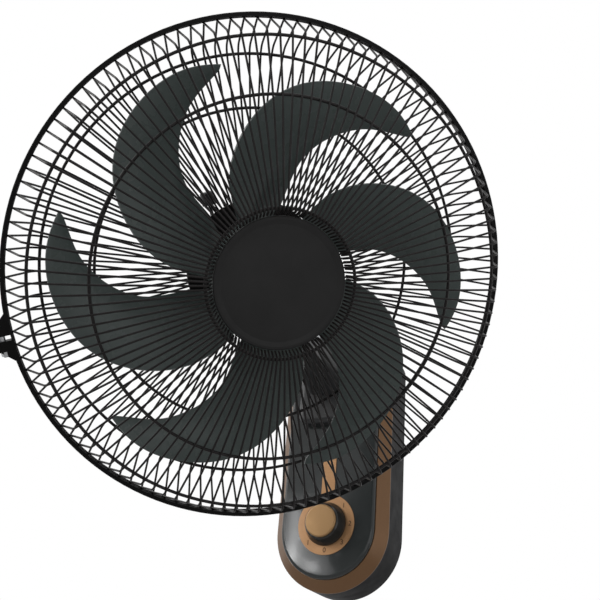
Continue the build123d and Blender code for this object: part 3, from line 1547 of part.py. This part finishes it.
with BuildPart() as drive_pin:
    with BuildSketch(
        Plane(
            origin=cage_point + head_forward * drive_pin_height,
            x_dir=head_up,
            z_dir=head_right,
        )
    ):
        Circle(drive_pin_radius)
    extrude(amount=drive_pin_length / 2, both=True)
write(drive_pin, "drive_pin")

with BuildPart() as spinner_nut:
    add(
        profile(
            [
                (shaft_radius + running_gap, hub_front + seam),
                (spinner_radius, hub_front + seam),
                *[
                    (across * spinner_radius, hub_front + along * spinner_height)
                    for across, along in spinner_nose
                ],
                (0, hub_front + spinner_height),
                (0, shaft_front + seam),
                (shaft_radius + running_gap, shaft_front + seam),
            ]
        )
    )
    revolve(axis=SHAFT_AXIS)
write(spinner_nut, "spinner_nut")
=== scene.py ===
import json
from math import cos, radians, sin

import bpy
from mathutils import Matrix, Vector


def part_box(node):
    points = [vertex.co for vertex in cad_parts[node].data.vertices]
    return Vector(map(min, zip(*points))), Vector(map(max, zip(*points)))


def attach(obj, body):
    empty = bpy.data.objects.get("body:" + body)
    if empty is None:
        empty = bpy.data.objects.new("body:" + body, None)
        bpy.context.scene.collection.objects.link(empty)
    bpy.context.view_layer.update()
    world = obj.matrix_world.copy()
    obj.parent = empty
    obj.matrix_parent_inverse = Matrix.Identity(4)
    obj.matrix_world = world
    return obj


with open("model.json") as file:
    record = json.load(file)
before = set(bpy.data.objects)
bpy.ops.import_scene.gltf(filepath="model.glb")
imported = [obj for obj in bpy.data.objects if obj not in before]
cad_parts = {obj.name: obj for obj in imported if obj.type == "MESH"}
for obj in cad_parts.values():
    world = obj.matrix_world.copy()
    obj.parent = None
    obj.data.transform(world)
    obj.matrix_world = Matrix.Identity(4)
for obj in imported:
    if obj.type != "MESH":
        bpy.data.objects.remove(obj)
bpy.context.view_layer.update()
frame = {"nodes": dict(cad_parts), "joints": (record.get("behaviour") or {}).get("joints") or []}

# Wall mounted fan. Metres, +Z up, the wall is the plane Y = 0 and the fan stands out to -Y.

# --- Places taken from the frame ------------------------------------------------------------------
joints = {joint["name"]: joint for joint in frame["joints"]}
head_forward = Vector(joints["blade_spin"]["axis"]).normalized()
cage_point = Vector(joints["blade_spin"]["pos_m"])
knob_point = Vector(joints["speed_knob"]["pos_m"])
dial_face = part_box("dial_plate")[0].y

# --- Camera ---------------------------------------------------------------------------------------
camera_place = (0.3780, -0.9367, -0.3169)
camera_forward = Vector((-0.3940, 0.7902, 0.4695))
camera_up = Vector((0.1278, -0.4588, 0.8794))
camera_lens = 51.0  # millimetres, as the sensor
camera_sensor = 36.0
camera_near = 0.01

# --- Dial figures ---------------------------------------------------------------------------------
figure_circle = 0.0285
figure_height = 0.0078
figure_thickness = 0.00012
figures = [("1", -45), ("0", 0), ("3", 45), ("2", 90), ("1", 135)]  # degrees round from the bottom

# --- Floor and world ------------------------------------------------------------------------------
floor_size = 12.0
floor_place = (0, -1.0, -1.6)
floor_roughness = 0.8
floor_glow = 0.38  # for the camera alone
soft_light = (0.96, 0.97, 1.0, 1.0)
soft_strength = 0.45
white = (1.0, 1.0, 1.0, 1.0)

# --- Lamps: name, place, target, width and height, watts, colour ----------------------------------
fan_middle = (0, -0.2, 0)
plain_light = (1, 1, 1)
day_light = (1.0, 0.98, 0.96)
lamps = [
    ("window", (-1.6, -1.2, 0.9), fan_middle, (0.9, 1.6), 20.0, day_light),
    ("ceiling", (0.3, -1.3, 1.8), fan_middle, (2.0, 2.0), 15.0, plain_light),
    ("fill", (1.7, -1.5, -0.4), fan_middle, (1.4, 1.4), 7.0, plain_light),
    # Two small panes that show as the long and the low highlight on the glossy shell.
    ("window_pane", (-0.877, -1.82, 0.326), (-0.039, -0.063, -0.103), (0.030, 0.18), 1.0, plain_light),
    ("low_pane", (-0.801, -1.82, 0.227), (-0.014, -0.063, -0.136), (0.045, 0.03), 0.28, plain_light),
]


def srgb(red, green, blue):
    """A screen colour as Blender's linear colour."""
    shares = [channel / 255 for channel in (red, green, blue)]
    return tuple(
        share / 12.92 if share <= 0.04045 else ((share + 0.055) / 1.055) ** 2.4 for share in shares
    ) + (1.0,)


def shade(colour, factor, lift=0.0):
    """The same colour, darker or lighter."""
    return tuple(min(1.0, channel * factor + lift) for channel in colour[:3]) + (1.0,)


class Finish:
    """A procedural material, built up from small steps."""

    coat_roughness = 0.06

    def __init__(self, name, roughness, metallic=0.0, coat=0.0, alpha=1.0, gloss=0.5):
        self.material = bpy.data.materials.new(name)
        self.material.use_nodes = True
        self.tree = self.material.node_tree
        self.shader = self.tree.nodes["Principled BSDF"]
        self.shader.inputs["Roughness"].default_value = roughness
        self.shader.inputs["Metallic"].default_value = metallic
        self.shader.inputs["Coat Weight"].default_value = coat
        self.shader.inputs["Coat Roughness"].default_value = self.coat_roughness
        self.shader.inputs["Specular IOR Level"].default_value = gloss
        self.shader.inputs["Alpha"].default_value = alpha
        self.place = self.tree.nodes.new("ShaderNodeTexCoord").outputs["Object"]
        self.height = None

    def link(self, source, target):
        self.tree.links.new(source, target)

    def noise(self, scale, detail=3.0, rough=0.55):
        """Soft noise in space, with so many features a metre."""
        node = self.tree.nodes.new("ShaderNodeTexNoise")
        node.inputs["Scale"].default_value = scale
        node.inputs["Detail"].default_value = detail
        node.inputs["Roughness"].default_value = rough
        self.link(self.place, node.inputs["Vector"])
        return node.outputs["Fac"]

    def spread(self, value, low, high, at_low=0.3, at_high=0.7):
        """A noise value stretched between two numbers."""
        node = self.tree.nodes.new("ShaderNodeMapRange")
        for name, number in (
            ("From Min", at_low), ("From Max", at_high), ("To Min", low), ("To Max", high)
        ):
            node.inputs[name].default_value = number
        self.link(value, node.inputs["Value"])
        return node.outputs["Result"]

    def mix(self, share, first, second):
        """Two colours, or an earlier mix and a colour, blended by a share."""
        node = self.tree.nodes.new("ShaderNodeMix")
        node.data_type = "RGBA"
        self.link(share, node.inputs["Factor"])
        for colour, socket in ((first, node.inputs[6]), (second, node.inputs[7])):
            if isinstance(colour, tuple):
                socket.default_value = colour
            else:
                self.link(colour, socket)
        return node.outputs[2]

    def cloud(self, scale, first, second):
        """Two colours in soft clouds."""
        return self.mix(self.spread(self.noise(scale), 0.0, 1.0), first, second)

    def colour(self, value):
        self.link(value, self.shader.inputs["Base Color"])

    def sheen(self, scale, low, high, detail=3.0):
        """Roughness that wanders between two numbers."""
        value = self.spread(self.noise(scale, detail), low, high)
        self.link(value, self.shader.inputs["Roughness"])

    def bump(self, value, strength, distance):
        node = self.tree.nodes.new("ShaderNodeBump")
        node.inputs["Strength"].default_value = strength
        node.inputs["Distance"].default_value = distance
        self.link(value, node.inputs["Height"])
        if self.height:
            self.link(self.height, node.inputs["Normal"])
        self.height = node.outputs["Normal"]
        self.link(self.height, self.shader.inputs["Normal"])

    def vector(self, operation, source, other=None):
        """One step of vector arithmetic."""
        node = self.tree.nodes.new("ShaderNodeVectorMath")
        node.operation = operation
        if other is not None:
            node.inputs[1].default_value = other
        self.link(source, node.inputs[0])
        return node.outputs

    def rings(self, centre, scale):
        """Fine turned marks about an axis along Y through a centre."""
        from_centre = self.vector("SUBTRACT", self.place, centre)["Vector"]
        flat = self.vector("MULTIPLY", from_centre, (1, 0, 1))["Vector"]
        node = self.tree.nodes.new("ShaderNodeTexNoise")
        node.noise_dimensions = "1D"
        node.inputs["Scale"].default_value = scale
        node.inputs["Detail"].default_value = 2.0
        self.link(self.vector("LENGTH", flat)["Value"], node.inputs["W"])
        return node.outputs["Fac"]

    def turns(self, centre, scale, distortion):
        """Wire turns laid round a centre."""
        wave = self.tree.nodes.new("ShaderNodeTexWave")
        wave.wave_type = "RINGS"
        wave.rings_direction = "SPHERICAL"
        wave.inputs["Scale"].default_value = scale
        wave.inputs["Distortion"].default_value = distortion
        self.link(self.vector("SUBTRACT", self.place, centre)["Vector"], wave.inputs["Vector"])
        return wave.outputs["Fac"]


# === Materials ====================================================================================
# Scales are features a metre, and depths of bumps are metres.


def moulded_plastic(name, colour, roughness, grain=1800.0, depth=0.00006, gloss=0.18):
    """Matt plastic with a fine spark-eroded grain and slight wear in its sheen."""
    cloud_scale, sheen_scale, grain_strength = 14.0, 60.0, 0.35
    finish = Finish(name, roughness, gloss=gloss)
    finish.colour(finish.cloud(cloud_scale, shade(colour, 0.82), shade(colour, 1.18)))
    finish.sheen(sheen_scale, roughness - 0.06, roughness + 0.08)
    finish.bump(finish.noise(grain, 2.0), grain_strength, depth)
    return finish.material


def gloss_plastic(name, colour, roughness=0.12, coat=0.1, gloss=0.2):
    """Polished plastic with a faint orange peel, smudges and a little dust."""
    cloud_scale, dust_scale, smudge_scale, peel_scale = 9.0, 900.0, 22.0, 120.0
    peel_strength, peel_depth = 0.05, 0.0004
    finish = Finish(name, roughness, coat=coat, gloss=gloss)
    body = finish.cloud(cloud_scale, colour, shade(colour, 1.35, 0.002))
    dust = finish.spread(finish.noise(dust_scale, 4.0, rough=0.7), 0.0, 1.0, 0.66, 0.78)
    finish.colour(finish.mix(dust, body, shade(colour, 1.0, 0.02)))
    finish.sheen(smudge_scale, roughness * 0.6, roughness * 1.9, detail=5.0)
    finish.bump(finish.noise(peel_scale, 1.0), peel_strength, peel_depth)
    return finish.material


def copper_paint(name, colour):
    """Satin metallic paint with fine flakes."""
    cloud_scale, sheen_scale, flake_scale = 16.0, 45.0, 4200.0
    flake_strength, flake_depth = 0.12, 0.00003
    finish = Finish(name, 0.38, metallic=0.35, coat=0.08, gloss=0.3)
    body = finish.cloud(cloud_scale, shade(colour, 0.72), colour)
    flakes = finish.spread(finish.noise(flake_scale, 1.0), 0.0, 1.0, 0.35, 0.65)
    finish.colour(finish.mix(flakes, body, shade(colour, 1.30)))
    finish.sheen(sheen_scale, 0.30, 0.46, detail=4.0)
    finish.bump(finish.noise(flake_scale, 1.0), flake_strength, flake_depth)
    return finish.material


def turned_metal(name, colour, centre, roughness=0.32):
    """Satin metal with fine turned rings."""
    ring_scale, sheen_scale = 2600.0, 70.0
    ring_strength, ring_depth = 0.25, 0.00003
    finish = Finish(name, roughness, metallic=0.55, coat=0.05, gloss=0.3)
    rings = finish.rings(centre, ring_scale)
    share = finish.spread(rings, 0.0, 1.0)
    finish.colour(finish.mix(share, shade(colour, 0.80), shade(colour, 1.15)))
    finish.sheen(sheen_scale, roughness - 0.06, roughness + 0.10, detail=4.0)
    finish.bump(rings, ring_strength, ring_depth)
    return finish.material


def powder_coat(name, colour, roughness=0.38):
    """Thick black coat on wire, slightly lumpy."""
    cloud_scale, sheen_scale, lump_scale = 35.0, 250.0, 1400.0
    lump_strength, lump_depth = 0.20, 0.00005
    finish = Finish(name, roughness, gloss=0.16)
    finish.colour(finish.cloud(cloud_scale, colour, shade(colour, 1.9, 0.001)))
    finish.sheen(sheen_scale, roughness - 0.08, roughness + 0.12)
    finish.bump(finish.noise(lump_scale, 2.0), lump_strength, lump_depth)
    return finish.material


def smoke_blade(name, colour):
    """Smoky clear plastic: nearly opaque and glossy."""
    cloud_scale, sheen_scale, flow_scale = 11.0, 40.0, 70.0
    flow_strength, flow_depth = 0.05, 0.0005
    finish = Finish(name, 0.24, alpha=0.975, gloss=0.22)
    finish.colour(finish.cloud(cloud_scale, colour, shade(colour, 1.15)))
    finish.sheen(sheen_scale, 0.18, 0.34, detail=4.0)
    finish.bump(finish.noise(flow_scale, 1.0), flow_strength, flow_depth)
    return finish.material


def bare_metal(name, colour, roughness, grain=300.0, depth=0.00004):
    """Bare or plated metal with handling marks."""
    mark_scale, sheen_scale, grain_strength = 90.0, 130.0, 0.25
    finish = Finish(name, roughness, metallic=1.0)
    marks = finish.spread(finish.noise(mark_scale, 4.0), 0.0, 1.0)
    finish.colour(finish.mix(marks, shade(colour, 0.78), colour))
    finish.sheen(sheen_scale, roughness - 0.08, roughness + 0.14, detail=4.0)
    finish.bump(finish.noise(grain, 3.0), grain_strength, depth)
    return finish.material


def winding(name, colour, centre):
    """Copper turns laid round the shaft, under varnish, with painted shade in the grooves between
    turns.
    """
    turn_scale, sheen_scale = 420.0, 200.0
    turn_strength, turn_depth = 0.5, 0.0003
    finish = Finish(name, 0.30, metallic=0.7, coat=0.6)
    turns = finish.turns(centre, turn_scale, 1.5)
    # Painted shade: the colour darkens where the bump is low, in the grooves between the turns.
    finish.colour(finish.mix(turns, shade(colour, 0.45), colour))
    finish.sheen(sheen_scale, 0.22, 0.42)
    finish.bump(turns, turn_strength, turn_depth)
    return finish.material


zinc = bare_metal("zinc_plate", srgb(178, 180, 182), 0.30)
ground = bare_metal("ground_steel", srgb(196, 198, 200), 0.16, grain=700.0, depth=0.00001)
alloy = moulded_plastic("painted_casting", srgb(30, 30, 31), 0.42, grain=500.0, depth=0.00012)
laminations = bare_metal("laminations", srgb(96, 98, 100), 0.42, grain=900.0)
bronze = bare_metal("sintered_bronze", srgb(150, 118, 72), 0.45, grain=1500.0, depth=0.00008)
nylon = moulded_plastic("white_nylon", srgb(214, 210, 198), 0.40)
rubber = moulded_plastic("black_rubber", srgb(22, 22, 22), 0.70, grain=900.0)
fibre = moulded_plastic("red_fibre", srgb(116, 52, 36), 0.75, grain=700.0, depth=0.00012)
housing = moulded_plastic("housing_plastic", srgb(27, 27, 28), 0.56, gloss=0.08)
neck_plastic = moulded_plastic(
    "neck_plastic", srgb(44, 45, 46), 0.34, grain=1200.0, depth=0.00004, gloss=0.3
)
shell = gloss_plastic("shell_gloss", srgb(46, 49, 49))
knob_black = gloss_plastic("knob_black", srgb(38, 37, 35), 0.16)
band = copper_paint("copper_band", srgb(102, 74, 48))
dial = turned_metal("dial_copper", srgb(166, 127, 90), knob_point, 0.40)
gold = turned_metal("knob_gold", srgb(152, 120, 82), knob_point)
wire = powder_coat("wire_coat", srgb(20, 18, 18))
hoop_plastic = moulded_plastic("hoop_plastic", srgb(13, 13, 13), 0.42, gloss=0.08)
disc_plastic = moulded_plastic("disc_plastic", srgb(32, 32, 32), 0.55, grain=1300.0, depth=0.00008)
blade = smoke_blade("smoke_blade", srgb(70, 78, 76))
copper_wire = winding("copper_wire", srgb(176, 98, 52), cage_point)
figure_ink = moulded_plastic("figure_ink", srgb(48, 32, 20), 0.5)

finishes = {
    zinc: ["wall_bracket", "shell_screws", "neck_screws", "switch_nut", "tilt_bolt", "swing_nut",
           "motor_screws", "crank_shaft", "swing_link", "clamp_screw", "clamp_nut"],
    ground: ["link_pin", "swing_pin", "shaft", "drive_pin"],
    alloy: ["elbow", "motor_front_shield", "motor_rear_shield"],
    laminations: ["stator", "rotor_core"],
    bronze: ["thrust_washer", "bearings"],
    nylon: ["rotary_switch", "switch_spindle", "run_capacitor", "terminal_block", "gear_case",
            "worm_wheel", "pinion_spindle", "crank_gear"],
    rubber: ["cable_grommet"],
    fibre: ["friction_washers"],
    housing: ["back_housing"],
    neck_plastic: ["neck_arm", "tilt_nut", "motor_cover", "clutch_knob", "guard_nut", "spinner_nut"],
    shell: ["front_shell"],
    knob_black: ["knob_skirt"],
    band: ["trim_band"],
    dial: ["dial_plate"],
    gold: ["knob_cap"],
    wire: ["front_guard_wires", "rear_guard_wires", "front_guard_rings", "rear_guard_rings",
           "rear_guard_plate"],
    hoop_plastic: ["hoop"],
    disc_plastic: ["centre_disc"],
    blade: ["impeller"],
    copper_wire: ["windings"],
}
for material, names in finishes.items():
    for name in names:
        slots = frame["nodes"][name].data.materials
        slots.clear()
        slots.append(material)


# === Dial figures =================================================================================


def dial_figure(name, text, turn):
    """One plain figure printed on the dial."""
    letters = bpy.data.curves.new(name, "FONT")
    letters.body = text
    letters.size = figure_height
    letters.align_x = "CENTER"
    letters.align_y = "CENTER"
    letters.extrude = figure_thickness / 2
    piece = bpy.data.objects.new(name, letters)
    bpy.context.scene.collection.objects.link(piece)
    away = radians(turn)
    place = knob_point + Vector((figure_circle * sin(away), 0, -figure_circle * cos(away)))
    place.y = dial_face - figure_thickness / 2
    piece.matrix_world = Matrix.Translation(place) @ Matrix.Rotation(radians(90), 4, "X")
    letters.materials.append(figure_ink)
    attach(piece, "root")


for number, (text, turn) in enumerate(figures):
    dial_figure(f"dial_figure_{number}", text, turn)


# === Stage, light and camera ======================================================================


def area_light(name, place, target, size, power, colour):
    lamp = bpy.data.lights.new(name, "AREA")
    lamp.shape = "RECTANGLE"
    lamp.size, lamp.size_y = size
    lamp.energy = power
    lamp.color = colour
    light = bpy.data.objects.new(name, lamp)
    bpy.context.scene.collection.objects.link(light)
    light.location = place
    light.rotation_euler = (Vector(target) - Vector(place)).to_track_quat("-Z", "Y").to_euler()


def maths(tree, operation, *values):
    """One step of arithmetic on linked values and plain numbers."""
    node = tree.nodes.new("ShaderNodeMath")
    node.operation = operation
    for value, socket in zip(values, node.inputs):
        if isinstance(value, float):
            socket.default_value = value
        else:
            tree.links.new(value, socket)
    return node.outputs["Value"]


def make_floor():
    """A plain pale floor, far below. It looks paler to the camera than it lights the object."""
    bpy.ops.mesh.primitive_plane_add(size=floor_size, location=floor_place)
    floor = bpy.context.object
    floor.name = "floor"
    material = bpy.data.materials.new("floor_paint")
    material.use_nodes = True
    tree = material.node_tree
    shader = tree.nodes["Principled BSDF"]
    shader.inputs["Base Color"].default_value = srgb(232, 230, 228)
    shader.inputs["Roughness"].default_value = floor_roughness
    shader.inputs["Emission Color"].default_value = white
    rays = tree.nodes.new("ShaderNodeLightPath").outputs
    glow = maths(tree, "MULTIPLY", rays["Is Camera Ray"], floor_glow)
    tree.links.new(glow, shader.inputs["Emission Strength"])
    floor.data.materials.append(material)


def background(tree, colour, strength):
    node = tree.nodes.new("ShaderNodeBackground")
    node.inputs["Color"].default_value = colour
    node.inputs["Strength"].default_value = strength
    return node.outputs["Background"]


def make_world():
    """White for what the camera, gloss and clear plastic see, and soft grey light otherwise."""
    world = bpy.data.worlds.new("studio")
    bpy.context.scene.world = world
    world.use_nodes = True
    tree = world.node_tree
    tree.nodes.clear()
    rays = tree.nodes.new("ShaderNodeLightPath").outputs
    seen = maths(tree, "MAXIMUM", rays["Is Camera Ray"], rays["Is Transmission Ray"])
    seen = maths(tree, "MAXIMUM", seen, rays["Is Glossy Ray"])
    mixer = tree.nodes.new("ShaderNodeMixShader")
    output = tree.nodes.new("ShaderNodeOutputWorld")
    tree.links.new(seen, mixer.inputs["Fac"])
    tree.links.new(background(tree, soft_light, soft_strength), mixer.inputs[1])
    tree.links.new(background(tree, white, 1.0), mixer.inputs[2])
    tree.links.new(mixer.outputs["Shader"], output.inputs["Surface"])


def make_camera():
    data = bpy.data.cameras.new("camera")
    data.lens = camera_lens
    data.sensor_width = camera_sensor
    data.clip_start = camera_near
    camera = bpy.data.objects.new("camera", data)
    bpy.context.scene.collection.objects.link(camera)
    back = -camera_forward.normalized()
    right = camera_up.cross(back).normalized()
    up = back.cross(right)
    turned = Matrix((right, up, back)).transposed().to_4x4()
    camera.matrix_world = Matrix.Translation(camera_place) @ turned
    bpy.context.scene.camera = camera


make_floor()
make_world()
make_camera()
for lamp in lamps:
    area_light(*lamp)
bpy.context.scene.view_settings.view_transform = "Standard"
